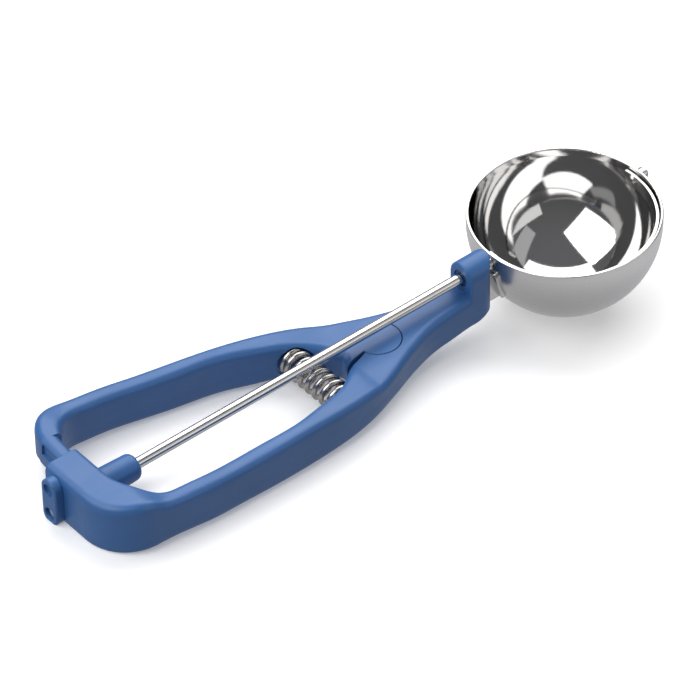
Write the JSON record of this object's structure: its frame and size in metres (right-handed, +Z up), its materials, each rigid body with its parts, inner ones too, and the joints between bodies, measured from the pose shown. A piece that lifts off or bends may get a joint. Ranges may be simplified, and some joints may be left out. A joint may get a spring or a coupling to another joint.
{
  "type": "lever ice cream scoop",
  "caption": "Lever ice cream scoop with a polished steel bowl, a sweeping scraper blade and a blue sprung two-arm handle.",
  "frame": {"origin": "middle of the footprint, on the table the scoop lies on", "axes": "+X from the handle's rear end towards the bowl, level with the table; +Y to the lever's side; +Z up"},
  "size_m": [0.232, 0.0606, 0.0382],
  "materials": {
    "handle_plastic": "blue satin moulded plastic",
    "bearing_plastic": "natural bearing plastic",
    "polished_steel": "mirror polished stainless steel",
    "satin_steel": "satin stainless steel",
    "spring_steel": "bright drawn spring wire"
  },
  "bodies": {
    "handle": {"handle_body": "handle_plastic", "rear_bush": "bearing_plastic", "front_bush": "bearing_plastic", "rear_plate": "handle_plastic", "plate_peg": "handle_plastic", "bowl": "polished_steel", "bowl_bracket": "satin_steel", "bracket_pin": "satin_steel", "tip_pin": "polished_steel", "tip_collar": "polished_steel", "hinge_washer": "bearing_plastic", "thrust_washer": "bearing_plastic", "spring": "spring_steel"},
    "lever_arm": {"lever": "handle_plastic", "hinge_pin": "satin_steel", "rack": "satin_steel", "rack_pins": "satin_steel"},
    "shaft_set": {"shaft": "polished_steel", "pinion": "satin_steel", "scraper_blade": "polished_steel"}
  },
  "joints": [
    {"name": "lever_hinge", "type": "hinge", "parent": "handle", "child": "lever_arm", "pos_m": [0.00969, 0, 0.01502], "axis": [-0.1373, 0, 0.9905], "range_deg": [0, 4.44], "stiffness_Nm_per_rad": 6, "springref_deg": -8.59, "deforming": ["spring"]},
    {"name": "shaft_spin", "type": "hinge", "parent": "handle", "child": "shaft_set", "pos_m": [-0.11136, 0, 0.0034], "axis": [0.9905, 0, 0.1373], "range_deg": [0, 168]}
  ],
  "couplings": [
    {"joint": "shaft_spin", "follows": "lever_hinge", "ratio": 37.833}
  ]
}
